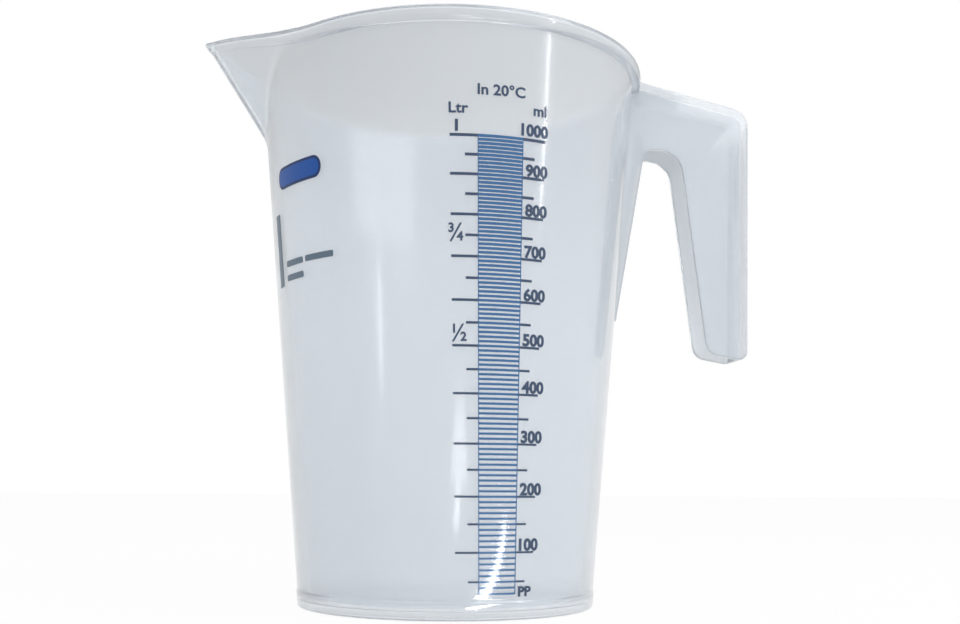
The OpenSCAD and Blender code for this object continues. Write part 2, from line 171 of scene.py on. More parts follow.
@dataclass(frozen=True)
class JugSizes:
    """Sizes of the jug in millimetres, the same as the model's own."""

    base_d: float = 90.5
    rim_d: float = 120.0
    body_h: float = 168.0
    wall_t: float = 1.8
    floor_t: float = 1.8
    floor_lift: float = 0.6
    foot_h: float = 5.6
    foot_proud: float = 0.3
    bead_h: float = 4.3
    bead_proud: float = 1.72
    spout_half_angle: float = 40.0
    keel_drop: float = 23.0
    keel_angle: float = 32.2
    keel_round: float = 4.0
    tip_rise: float = 9.05
    spout_patch_drop: float = 30.0
    lip_tip_h: float = 2.6
    lip_tip_proud: float = 0.55
    full_mark_drop: float = 35.5
    divisions: int = 100
    first_division: int = 3

    @property
    def taper(self) -> float:
        """Growth of the wall's radius for each millimetre of height."""
        return (self.rim_d - self.base_d) / 2 / self.body_h

    @property
    def floor_top(self) -> float:
        """Height of the floor's upper face."""
        return self.floor_lift + self.floor_t

    @property
    def full_mark(self) -> float:
        """Height of the mark at one litre."""
        return self.body_h - self.full_mark_drop

    def wall_r(self, z: Any) -> Any:
        """Radius of the wall's outer face at a height."""
        return self.base_d / 2 + self.taper * z

    def mark_h(self, share: float) -> float:
        """Height at which a share of the full volume stands in the cone.

        Args:
            share: The share, 1 at the full mark.

        Returns:
            The height above the table.
        """
        low = self.wall_r(self.floor_top) - self.wall_t
        high = self.wall_r(self.full_mark) - self.wall_t
        return self.floor_top + (np.cbrt(low ** 3 + share * (high ** 3 - low ** 3)) - low) / self.taper


SIZES = JugSizes()


# Finishes


@dataclass(frozen=True)
class MouldedPolypropylene:
    """Natural polypropylene, injection moulded in a satin steel mould.

    The crystals in the resin scatter light, so the wall is milky and a little blue, edges and
    thick places are whiter, and what lies behind it shows soft. Flow in the mould leaves faint
    upright streaks that bend the highlights.
    """

    name: str = "polypropylene_injection_moulded"
    tint: str = "#F7FAFE"
    streak_tint: str = "#F2F8FD"
    transmission: float = 0.76
    roughness: float = 0.14
    ior: float = 1.49
    gloss: float = 0.35
    gloss_roughness: float = 0.09
    roughness_swing: float = 0.04
    streak_mm: float = 22.0
    streak_draw: float = 0.12
    streak_depth_mm: float = 0.05
    streak_strength: float = 0.1
    streak_detail: float = 0.45
    grain_mm: float = 2.2
    grain_depth_mm: float = 0.01
    grain_strength: float = 0.03

    def build(self) -> Material:
        """Makes the material.

        Returns:
            A translucent plastic on Object coordinates.
        """
        material = bare_material(self.name)
        tree = material.node_tree
        place = add(tree, "ShaderNodeTexCoord").outputs["Object"]
        # streaks are drawn out eight times along the height, as the melt flows from the floor up
        drawn = add(tree, "ShaderNodeMapping", {"Vector": place, "Scale": (1, 1, self.streak_draw)})
        streaks = add(tree, "ShaderNodeTexNoise", {
            "Vector": drawn.outputs[0], "Scale": 1 / (self.streak_mm * MM), "Detail": 2.0,
            "Roughness": self.streak_detail}).outputs[0]
        grain = add(tree, "ShaderNodeTexNoise", {
            "Vector": place, "Scale": 1 / (self.grain_mm * MM), "Detail": 1.0}).outputs[0]
        # a Mix node repeats its socket names for each kind of data, so its colours go by number
        colour = add(tree, "ShaderNodeMix", {
            0: streaks, 6: linear(self.tint), 7: linear(self.streak_tint)}, data_type="RGBA")
        blur = add(tree, "ShaderNodeMapRange", {
            "Value": streaks, "To Min": self.roughness - self.roughness_swing,
            "To Max": self.roughness + self.roughness_swing})
        wave = add(tree, "ShaderNodeBump", {
            "Height": streaks, "Strength": self.streak_strength, "Distance": self.streak_depth_mm * MM})
        satin = add(tree, "ShaderNodeBump", {
            "Height": grain, "Strength": self.grain_strength, "Distance": self.grain_depth_mm * MM,
            "Normal": wave.outputs[0]})
        shader = add(tree, "ShaderNodeBsdfPrincipled", {
            "Base Color": colour.outputs[2], "Roughness": blur.outputs[0],
            "Transmission Weight": self.transmission, "IOR": self.ior, "Normal": satin.outputs[0],
            "Coat Weight": self.gloss, "Coat Roughness": self.gloss_roughness, "Coat IOR": self.ior})
        add(tree, "ShaderNodeOutputMaterial", {"Surface": shader.outputs[0]})
        return material


@dataclass(frozen=True)
class PrintedInk:
    """Screen-printed ink on polypropylene.

    It dries as a thin flat film: an even colour, slightly uneven where the mesh of the screen let
    less ink through, and duller than the plastic around it.
    """

    name: str
    colour: str
    thin_colour: str
    smoothest: float = 0.45
    roughest: float = 0.58
    gloss: float = 0.15
    varnish: float = 0.35
    mesh_mm: float = 0.9
    mesh_depth_mm: float = 0.01
    mesh_strength: float = 0.15
    ior: float = 1.48
    varnish_roughness: float = 0.09
    varnish_ior: float = 1.49

    def build(self) -> Material:
        """Makes the material.

        Returns:
            An opaque ink with a faint unevenness on Object coordinates.
        """
        material = bare_material(self.name)
        tree = material.node_tree
        place = add(tree, "ShaderNodeTexCoord").outputs["Object"]
        uneven = add(tree, "ShaderNodeTexNoise", {
            "Vector": place, "Scale": 1 / (self.mesh_mm * MM), "Detail": 2.0}).outputs[0]
        colour = add(tree, "ShaderNodeMix", {
            0: uneven, 6: linear(self.colour), 7: linear(self.thin_colour)}, data_type="RGBA")
        shine = add(tree, "ShaderNodeMapRange", {
            "Value": uneven, "To Min": self.smoothest, "To Max": self.roughest})
        film = add(tree, "ShaderNodeBump", {
            "Height": uneven, "Strength": self.mesh_strength, "Distance": self.mesh_depth_mm * MM})
        shader = add(tree, "ShaderNodeBsdfPrincipled", {
            "Base Color": colour.outputs[2], "Roughness": shine.outputs[0], "Normal": film.outputs[0],
            "IOR": self.ior, "Specular IOR Level": self.gloss, "Coat Weight": self.varnish,
            "Coat Roughness": self.varnish_roughness, "Coat IOR": self.varnish_ior})
        add(tree, "ShaderNodeOutputMaterial", {"Surface": shader.outputs[0]})
        return material


@dataclass(frozen=True)
class PaperSweep:
    """White background paper: bare, flat and matt, and nearly white to the camera."""

    name: str = "paper_sweep_white"
    colour: str = "#F4F5F6"
    smoothest: float = 0.8
    roughest: float = 0.9
    gloss: float = 0.1
    camera_share: float = 0.95
    fibre_mm: float = 3.0

    def build(self) -> Material:
        """Makes the material.

        Returns:
            Matt paper that the camera, gloss and clear plastic see as white, with its shadows kept.
        """
        material = bare_material(self.name)
        tree = material.node_tree
        ray = add(tree, "ShaderNodeLightPath").outputs
        place = add(tree, "ShaderNodeTexCoord").outputs["Object"]
        fibre = add(tree, "ShaderNodeTexNoise", {
            "Vector": place, "Scale": 1 / (self.fibre_mm * MM), "Detail": 2.0})
        rough = add(tree, "ShaderNodeMapRange", {
            "Value": fibre.outputs[0], "To Min": self.smoothest, "To Max": self.roughest})
        paper = add(tree, "ShaderNodeBsdfPrincipled", {
            "Base Color": linear(self.colour), "Roughness": rough.outputs[0],
            "Specular IOR Level": self.gloss})
        white = add(tree, "ShaderNodeEmission", {"Color": (1, 1, 1, 1), "Strength": 1.0})
        # rays that the camera, gloss or clear plastic sends out see the paper as white
        seen = add(tree, "ShaderNodeMath", {
            0: ray["Is Camera Ray"], 1: ray["Is Glossy Ray"]}, operation="MAXIMUM")
        seen_or_through = add(tree, "ShaderNodeMath", {
            0: seen.outputs[0], 1: ray["Is Transmission Ray"]}, operation="MAXIMUM")
        share = add(tree, "ShaderNodeMath", {
            0: seen_or_through.outputs[0], 1: self.camera_share}, operation="MULTIPLY")
        mixed = add(tree, "ShaderNodeMixShader", {
            0: share.outputs[0], 1: paper.outputs[0], 2: white.outputs[0]})
        add(tree, "ShaderNodeOutputMaterial", {"Surface": mixed.outputs[0]})
        return material


def ink_field(name: str, colour: str, thin_colour: str, varnish: float = PrintedInk.varnish) -> Any:
    """Makes the field that holds one ink of the finishes.

    Args:
        name: Name of the material.
        colour: Its colour where it is thick.
        thin_colour: Its colour where it is thin.
        varnish: Weight of the varnish on it.

    Returns:
        A field that builds the ink once.
    """
    return field(default_factory=lambda: PrintedInk(name, colour, thin_colour, varnish=varnish).build())


@dataclass(frozen=True)
class Finishes:
    """The finishes of the jug, each built once."""

    # milky polypropylene: the whole moulding
    plastic: Material = field(default_factory=lambda: MouldedPolypropylene().build())
    # blue ink: the ladder, varnished more than the rest, so that a highlight runs on across its lines
    scale: Material = ink_field("screen_ink_scale_blue", "#2B5B8C", "#376796", varnish=0.9)
    # navy ink: ticks, numerals and headings
    numeral: Material = ink_field("screen_ink_navy", "#36465F", "#43536C")
    # bright and dark blue ink: the panel's header and its border
    panel: Material = ink_field("screen_ink_bright_blue", "#004696", "#0454AA")
    panel_border: Material = ink_field("screen_ink_dark_blue", "#0B2A5C", "#143468")
    # slate ink: the panel's rule and rows
    panel_text: Material = ink_field("screen_ink_slate", "#586A7A", "#687A8A")


# Meshes


def piece_from(name: str, verts: np.ndarray, faces: Sequence[Sequence[int]],
               material: Material, sharp_deg: float | None = None) -> Object:
    """Makes an object from points in millimetres.

    Args:
        name: The object's name.
        verts: Points in the jug's frame, in millimetres.
        faces: Lists of point numbers.
        material: The finish.
        sharp_deg: Edges that bend more than this stay crisp; None shades everything flat.

    Returns:
        The object, at the origin, with its place in its mesh.
    """
    mesh = bpy.data.meshes.new(name)
    mesh.from_pydata([tuple(v) for v in np.asarray(verts) * MM], [], [list(f) for f in faces])
    mesh.validate()
    work = bmesh.new()
    work.from_mesh(mesh)
    bmesh.ops.remove_doubles(work, verts=work.verts, dist=WELD)
    bmesh.ops.recalc_face_normals(work, faces=work.faces)
    work.to_mesh(mesh)
    work.free()
    if sharp_deg is not None:
        smooth(mesh, sharp_deg)
    mesh.materials.append(material)
    return new_object(name, mesh)


def settle(piece: Object, slot: Slot, *nodes: str) -> None:
    """Ties a finished piece to the jug's body and hides the solids that it stands for.

    Args:
        piece: The finished piece.
        slot: The record's material slot; not used.
        *nodes: Names of the model's solids that the piece replaces.
    """
    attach(piece, BODY)
    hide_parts(*nodes)
    LOG.info("%s: %d faces, stands for %s", piece.name, len(piece.data.polygons), ", ".join(nodes))


@dataclass
class Shell:
    """The moulded vessel: floor, standing ring, conical wall, beaked spout and rim bead in one skin.

    Lengths are in millimetres and directions in degrees from the spout's.
    """

    sizes: JugSizes = SIZES
    column_deg: float = 1.5
    spout_column_deg: float = 0.75
    spout_reach_deg: float = 54.0
    sharp_share: float = 0.16
    keel_blend: float = 2.56
    root_blend: float = 1.4
    edge_blend: float = 1.6
    # this many blends from the spout's edge its slope is straight
    straight_past: float = 30.0
    least_facing: float = 0.2
    beak_facing: float = 0.3
    floor_fillet: float = 2.2
    fillet_rows: int = 7
    # rings of the floor, as shares of its radius, over and under it
    floor_shares: tuple[float, ...] = (0.8, 0.55, 0.3, 0.12)
    under_shares: tuple[float, ...] = (0.15, 0.4, 0.65, 0.85, 0.97)
    under_step: float = 0.12
    foot_chamfer: float = 0.25
    foot_round: float = 0.9
    foot_middle: float = 3.0
    foot_rows: int = 6
    foot_from_deg: float = 15.0
    wall_start: float = 0.5
    wall_rows: int = 20
    spout_rows: int = 26
    inner_rows: int = 30
    sharp_deg: float = 50.0
    edge_round: float = 0.45
    edge_middle: tuple[float, float] = (0.12, 0.14)
    inner_drop: float = 1.2
    handle_swell: float = 1.0
    swell_deg: float = 16.0
    lip_crown: float = 0.9
    nose_blunt: float = 0.05
    rim_rounds: int = 24
    # share of the bead's height below the top, then share of how far it is proud
    bead_section: tuple[tuple[float, float], ...] = (
        (1.0, 0.12), (0.93, 0.5), (0.86, 0.85), (0.78, 0.98), (0.5, 1.0), (0.22, 1.0), (0.1, 0.95),
        (0.025, 0.8), (0.0, 0.55), (0.0, 0.1))

    def __post_init__(self) -> None:
        """Works out the spout's plan shape and the columns of the skin."""
        s = self.sizes
        self.keel_root = s.body_h - s.keel_drop
        self.patch = s.body_h - s.spout_patch_drop
        self.tip_h = s.body_h + s.tip_rise
        self.edge_x = s.rim_d / 2 * math.cos(math.radians(s.spout_half_angle))
        apex = self.sharp_r(s.body_h)
        rim = s.rim_d / 2
        angle = math.radians(s.spout_half_angle)
        self.plan_half = math.atan(rim * math.sin(angle) / (apex - rim * math.cos(angle)))
        self.section_half = math.atan(math.tan(self.plan_half) / math.cos(math.radians(s.keel_angle)))
        self.edge_slope = s.tip_rise / (self.sharp_r(self.tip_h) - self.edge_x)
        reach = self.spout_reach_deg
        near = np.arange(-reach, reach + self.spout_column_deg / 2, self.spout_column_deg)
        far = np.arange(reach + self.column_deg, 360 - reach - self.column_deg / 2, self.column_deg)
        self.angles = np.radians(np.concatenate([near, far]))

    def sharp_r(self, z: Any) -> Any:
        """Distance from the axis to the keel's sharp line, before its rounding.

        Args:
            z: Height above the table.

        Returns:
            The distance.
        """
        s = self.sizes
        lean = math.tan(math.radians(s.keel_angle))
        return s.wall_r(self.keel_root) + (z - self.keel_root) * lean + s.keel_round * self.sharp_share

    def radius(self, angles: np.ndarray, z: np.ndarray, inset: float) -> np.ndarray:
        """Distance from the axis to the skin, measured level.

        Args:
            angles: Directions from the spout's, in radians.
            z: Heights, one for each direction.
            inset: How deep in the wall the skin lies.

        Returns:
            Distances in millimetres.
        """
        cone = self.sizes.wall_r(z) - inset
        shift = inset / math.sin(self.section_half) / math.cos(math.radians(self.sizes.keel_angle))
        reach = (self.sharp_r(z) - shift) * math.sin(self.plan_half)
        lean = math.pi / 2 - self.plan_half
        turn = np.abs((angles + math.pi) % (2 * math.pi) - math.pi)
        sides = []
        for sign in (1, -1):
            away = sign * turn - lean
            facing = np.maximum(np.cos(away), self.least_facing)
            # past the foot of its square from the axis a side falls away inside the cone
            sides.append(np.where(away < 0, reach / facing, reach * facing))
        # the sides meet in a rounding, and the beak grows out of the cone through another
        apart = np.maximum(self.keel_blend - np.abs(sides[0] - sides[1]), 0) / self.keel_blend
        beak = np.minimum(*sides) - apart ** 2 * self.keel_blend / 4
        beak = np.where(np.cos(angles) > self.beak_facing, beak, 0)
        near = np.maximum(self.root_blend - np.abs(beak - cone), 0) / self.root_blend
        return np.maximum(beak, cone) + near ** 2 * self.root_blend / 4

    def top(self, angles: np.ndarray) -> np.ndarray:
        """Height of the rim: level, then rising to the spout's tip.

        Args:
            angles: Directions from the spout's, in radians.

        Returns:
            A height for each direction.
        """
        s = self.sizes
        z = np.full_like(angles, s.body_h)
        # height and reach of the spout's edge follow from each other, so they are found in turns
        for _ in range(self.rim_rounds):
            out = self.radius(angles, z, 0) * np.cos(angles) - self.edge_x
            blends = np.clip(out / self.edge_blend, -self.straight_past, self.straight_past)
            ramp = self.edge_blend * np.log1p(np.exp(blends))
            z = s.body_h + self.edge_slope * ramp
        share = np.clip((z - s.body_h) / s.tip_rise, 0, 1)
        crowned = z + self.lip_crown * 4 * share ** 2 * (1 - share)
        return np.minimum(crowned, self.tip_h - self.nose_blunt)

    def rows(self) -> list[tuple[np.ndarray, np.ndarray]]:
        """Distances and heights of the skin, row by row, from under the floor to its upper face.

        Returns:
            A distance and a height for each column, for each row.
        """
        s = self.sizes
        angles = self.angles
        top = self.top(angles)
        out = np.clip((self.radius(angles, top, 0) * np.cos(angles) - self.edge_x)
                      / (self.sharp_r(self.tip_h) - self.edge_x), 0, 1)
        bead_h = s.bead_h + (s.lip_tip_h - s.bead_h) * out
        proud = s.bead_proud + (s.lip_tip_proud - s.bead_proud) * out
        from_handle = math.pi - np.abs((angles + math.pi) % (2 * math.pi) - math.pi)
        proud += self.handle_swell * np.exp(-(from_handle / math.radians(self.swell_deg)) ** 2)
        level = np.ones_like(angles)
        made: list[tuple[np.ndarray, np.ndarray]] = []

        def turned(r: float, z: float) -> None:
            """Adds a round row."""
            made.append((r * level, z * level))

        foot_in = s.wall_r(s.floor_lift) - s.wall_t
        for share in self.under_shares:
            turned(foot_in * share, s.floor_lift)
        turned(foot_in, s.floor_lift - self.under_step)
        turned(foot_in, self.foot_chamfer)
        turned(foot_in + self.foot_chamfer, 0)
        turned(s.wall_r(0) + s.foot_proud - self.foot_round, 0)
        for turn in np.radians(np.linspace(self.foot_from_deg, 90, self.foot_rows)):
            turned(s.wall_r(self.foot_round) + s.foot_proud - self.foot_round * (1 - math.sin(turn)),
                   self.foot_round * (1 - math.cos(turn)))
        turned(s.wall_r(self.foot_middle) + s.foot_proud, self.foot_middle)
        for share in np.linspace(0, 1, self.foot_rows):
            turned(s.wall_r(s.foot_h) + s.foot_proud * (1 - share ** 2 * (3 - 2 * share)),
                   s.foot_h - self.foot_round * (1 - share))
        for z in np.linspace(s.foot_h + self.wall_start, self.patch, self.wall_rows):
            turned(s.wall_r(z), z)
        foot_of_bead = top - bead_h
        for share in np.linspace(0, 1, self.spout_rows)[1:]:
            z = self.patch + (foot_of_bead - self.patch) * share
            made.append((self.radius(angles, z, 0), z))
        for low, bulge in self.bead_section:
            z = top - bead_h * low
            made.append((self.radius(angles, z, 0) + proud * bulge, z))
        inset, drop = self.edge_middle
        made.append((self.radius(angles, top, s.wall_t - self.edge_round), top))
        made.append((self.radius(angles, top, s.wall_t - inset), top - drop))
        made.append((self.radius(angles, top - self.edge_round, s.wall_t), top - self.edge_round))
        for share in np.linspace(1, 0, self.inner_rows):
            z = self.patch + (top - self.inner_drop - self.patch) * share
            made.append((self.radius(angles, z, s.wall_t), z))
        fillet = self.floor_fillet
        fillet_top = s.floor_top + fillet
        for z in np.linspace(self.patch, fillet_top, self.wall_rows)[1:]:
            turned(s.wall_r(z) - s.wall_t, z)
        corner = s.wall_r(fillet_top) - s.wall_t - fillet
        for turn in np.radians(np.linspace(0, 90, self.fillet_rows)[1:]):
            turned(corner + fillet * math.cos(turn), fillet_top - fillet * math.sin(turn))
        for share in self.floor_shares:
            turned(corner * share, s.floor_top)
        return made

    def build(self, finishes: Finishes) -> None:
        """Builds and dresses the skin.

        Args:
            finishes: The finishes.
        """
        rows = self.rows()
        columns = len(self.angles)
        # the spout's direction is -X, so the columns start there
        cos, sin = -np.cos(self.angles), -np.sin(self.angles)
        verts = [np.stack([r * cos, r * sin, z], axis=1) for r, z in rows]
        faces: list[list[int]] = []
        for row in range(len(rows) - 1):
            a, b = row * columns, (row + 1) * columns
            faces += [[a + i, a + (i + 1) % columns, b + (i + 1) % columns, b + i] for i in range(columns)]
        last = (len(rows) - 1) * columns
        under, upper = len(rows) * columns, len(rows) * columns + 1
        faces += [[under, (i + 1) % columns, i] for i in range(columns)]
        faces += [[upper, last + i, last + (i + 1) % columns] for i in range(columns)]
        poles = np.array([[0, 0, self.sizes.floor_lift], [0, 0, self.sizes.floor_top]])
        shell = piece_from("jug_shell", np.concatenate([*verts, poles]), faces, finishes.plastic,
                           self.sharp_deg)
        settle(shell, Slot.SHELL, "body_wall", "base_floor", "foot_ring", "rim_bead", "spout", "spout_lip")


@dataclass
class Handle:
    """The open channel handle: a spine between two cheeks that run down the wall as ribs.

    Lengths are in millimetres and leans in degrees.
    """

    sizes: JugSizes = SIZES
    width: float = 15.0
    cheek_t: float = 2.0
    spine_t: float = 2.2
    top_drop: float = 0.4
    top_slope: float = 12.5
    out: float = 38.6
    arm_outer_lean: float = 1.4
    arm_inner_lean: float = 6.6
    arm_end_w: float = 13.4
    arm_drop: float = 89.8
    corner_round: float = 6.0
    end_round: float = 4.8
    end_round_out: float = 2.8
    gap_drop: float = 22.2
    gap_round_out: float = 8.0
    gap_round_in: float = 3.2
    rib_drop: float = 29.4
    rib_top_proud: float = 5.0
    rib_length: float = 49.6
    rib_end_proud: float = 0.4
    bead_r: float = 61.9
    root_depth: float = 0.95
    edge_round: float = 0.5
    round_from_deg: float = 40.0
    round_steps: int = 3
    top_crown: float = 1.0
    end_drop: float = 1.2
    root_drops: tuple[float, float] = (1.0, 4.0)

    def __post_init__(self) -> None:
        """Works out the corners that the outline shares."""
        self.reach = self.sizes.rim_d / 2 + self.out
        self.corner_h = self.top_at(self.reach)
        self.end_h = self.sizes.body_h - self.arm_drop
        self.gap_h = self.sizes.body_h - self.gap_drop
        self.rib_top = self.sizes.body_h - self.rib_drop
        self.rib_end = self.rib_top - self.rib_length
        self.inner_end_x = self.outer_at(self.end_h) - self.arm_end_w

    def top_at(self, x: float) -> float:
        """Height of the handle's top, which slopes down and is crowned near the rim.

        Args:
            x: Distance from the axis.

        Returns:
            The height above the table.
        """
        past = x - self.bead_r
        straight = self.sizes.body_h - self.top_drop - past * math.tan(math.radians(self.top_slope))
        share = min(max(past / (self.reach - self.bead_r), 0.0), 1.0)
        return straight + self.top_crown * (1 - share)

    def outer_at(self, z: float) -> float:
        """Distance from the axis to the arm's outer face at a height."""
        return self.reach - (self.corner_h - z) * math.tan(math.radians(self.arm_outer_lean))

    def inner_at(self, z: float) -> float:
        """Distance from the axis to the arm's inner face at a height."""
        return self.inner_end_x - (z - self.end_h) * math.tan(math.radians(self.arm_inner_lean))

    def rib_at(self, z: float) -> float:
        """Distance from the axis to the rib's edge at a height."""
        share = (z - self.rib_end) / (self.rib_top - self.rib_end)
        return self.sizes.wall_r(z) + self.rib_end_proud + share * (self.rib_top_proud - self.rib_end_proud)

    def root_at(self, z: float) -> float:
        """Distance from the axis to the handle's root, which lies inside the wall's thickness."""
        return self.sizes.wall_r(z) - self.root_depth

    @staticmethod
    def arc(before: Vector, corner: Vector, after: Vector, radius: float, steps: int = 8) -> list[Vector]:
        """Points of a rounded corner.

        Args:
            before: The outline's point before the corner.
            corner: The sharp corner.
            after: The point after it.
            radius: Radius of the rounding.
            steps: Number of straight pieces.

        Returns:
            The points, from the side of before to the side of after.
        """
        a, b = (before - corner).normalized(), (after - corner).normalized()
        half = math.acos(max(-1.0, min(1.0, a.dot(b)))) / 2
        centre = corner + (a + b).normalized() * (radius / math.sin(half))
        start = corner + a * (radius / math.tan(half)) - centre
        end = corner + b * (radius / math.tan(half)) - centre
        swing = start.angle(end)
        return [centre + (start * math.sin((1 - k / steps) * swing) + end * math.sin(k / steps * swing))
                / math.sin(swing) for k in range(steps + 1)]

    def paths(self) -> tuple[list[Vector], list[Vector], list[Vector]]:
        """Outlines in the plane of handle and spout.

        Returns:
            The back of the spine from the wall to the arm's end, the free edge of the cheeks from
            there to the lower end of the ribs, and the front of the spine from its lower end to
            the wall.
        """
        top_root = Vector((self.root_at(self.sizes.body_h - self.root_drops[0]), 0))
        top_root.y = self.top_at(top_root.x)
        corner = Vector((self.reach, self.corner_h))
        end_out = Vector((self.outer_at(self.end_h), self.end_h - self.end_drop))
        end_in = Vector((self.inner_end_x, self.end_h + self.end_drop))
        gap_out = Vector((self.inner_at(self.gap_h), self.gap_h))
        gap_in = Vector((self.rib_at(self.gap_h), self.gap_h))
        rib_low = Vector((self.rib_at(self.rib_end), self.rib_end))
        rib_root = Vector((self.root_at(self.rib_end), self.rib_end))
        lean = math.radians(self.arm_outer_lean)
        slope = math.radians(self.top_slope)
        spine_x = self.spine_t / math.cos(lean)
        # the spine's front meets the rounding at the arm's end
        end_arc = self.arc(corner, end_out, end_in, self.end_round_out, steps=10)
        cut = next(i for i, p in enumerate(end_arc) if p.x <= self.outer_at(p.y) - spine_x)
        joint = end_arc[cut]
        back = [top_root, *self.arc(top_root, corner, end_out, self.corner_round, steps=12),
                *end_arc[:cut + 1]]
        edge = [*end_arc[cut:], *self.arc(end_out, end_in, gap_out, self.end_round, steps=10),
                *self.arc(end_in, gap_out, gap_in, self.gap_round_out, steps=12),
                *self.arc(gap_out, gap_in, rib_low, self.gap_round_in), rib_low, rib_root]
        inner_x = self.reach - spine_x - self.spine_t * math.tan(lean)
        spine_h = self.spine_t / math.cos(slope)
        inner_corner = Vector((inner_x, self.top_at(inner_x) - spine_h))
        front_root = Vector((self.root_at(self.sizes.body_h - self.root_drops[1]), 0))
        front_root.y = self.top_at(front_root.x) - spine_h
        front = [joint, *self.arc(joint, inner_corner, front_root, self.corner_round - self.spine_t),
                 front_root]
        return back, edge, front

    def build(self, finishes: Finishes) -> None:
        """Builds and dresses the handle.

        Args:
            finishes: The finishes.
        """
        back, edge, front = self.paths()
        outside, inside = self.width / 2, self.width / 2 - self.cheek_t
        verts: list[tuple[float, float, float]] = []
        faces: list[list[int]] = []

        def stand(path: list[Vector], y: float) -> list[int]:
            """Stands a path upright beside the middle of the handle and numbers its points."""
            verts.extend((p.x, y, p.y) for p in path)
            return list(range(len(verts) - len(path), len(verts)))

        def strip(path: list[Vector], near: float, far: float) -> None:
            """Joins a path at two distances from the middle with a strip."""
            a, b = stand(path, near), stand(path, far)
            faces.extend([a[i], a[i + 1], b[i + 1], b[i]] for i in range(len(path) - 1))

        for y in (-outside, outside):
            faces.append(stand(back + edge[1:] + front[-1:], y))
        for y in (-inside, inside):
            faces.append(stand(edge + front[:0:-1], y))
        root = [edge[-1], front[-1], back[0]]
        for near, far in ((-outside, -inside), (-inside, inside), (inside, outside)):
            strip(back, near, far)
        for near, far in ((-outside, -inside), (inside, outside)):
            strip(edge, near, far)
            strip(root, near, far)
        strip(front, -inside, inside)
        strip(root[1:], -inside, inside)
        handle = piece_from("handle", np.array(verts), faces, finishes.plastic)
        rounding = handle.modifiers.new("edge_round", "BEVEL")
        rounding.width = self.edge_round * MM
        rounding.segments = self.round_steps
        rounding.limit_method = "ANGLE"
        rounding.angle_limit = math.radians(self.round_from_deg)
        rounding.harden_normals = False
        rounded = final_mesh(handle)
        smooth(rounded)
        handle.modifiers.clear()
        handle.data = rounded
        settle(handle, Slot.SHELL, "handle_spine", "handle_cheek_front", "handle_cheek_back",
               "handle_rib_front", "handle_rib_back")


# Print


@dataclass(frozen=True)
class PrintSizes:
    """Sizes of the printed scale, lengths in millimetres and directions in degrees."""

    line_h: float = 0.49
    line_growth: float = 0.0022
    ink_t: float = 0.12
    ink_depth: float = 0.03
    scale_angle: float = -79.6
    ladder_half_angle: float = 6.7
    rail_angle: float = 0.26
    short_tick_angle: float = 3.6
    long_tick_angle: float = 7.8
    numeral_tick_angle: float = 6.9
    mark_step: int = 10
    division_ml: int = 10
    numeral_h: float = 3.3
    numeral_stretch: float = 1.02
    numeral_lift: float = 0.25
    numeral_clearance: float = 0.9
    # the full mark's longer numeral starts over the ladder's edge and stands higher
    full_numeral_shift: tuple[float, float] = (-0.7, 0.5)
    heading_h: float = 3.0
    heading_weight: float = 0.024
    litre_shift: tuple[float, float] = (-0.2, 6.1)
    millilitre_shift: tuple[float, float] = (-0.6, 7.0)
    temperature_lift: float = 11.4
    material_h: float = 2.7
    material_lift: float = 1.0
    lean_deg: float = 1.3
    lean_middle: float = 70.0

    def line_at(self, z: float) -> float:
        """Height of a printed line whose middle is at a height on the wall."""
        return self.line_h + self.line_growth * z

    @property
    def left(self) -> float:
        """Direction of the ladder's left edge."""
        return self.scale_angle - self.ladder_half_angle

    @property
    def right(self) -> float:
        """Direction of the ladder's right edge."""
        return self.scale_angle + self.ladder_half_angle


PRINT = PrintSizes()


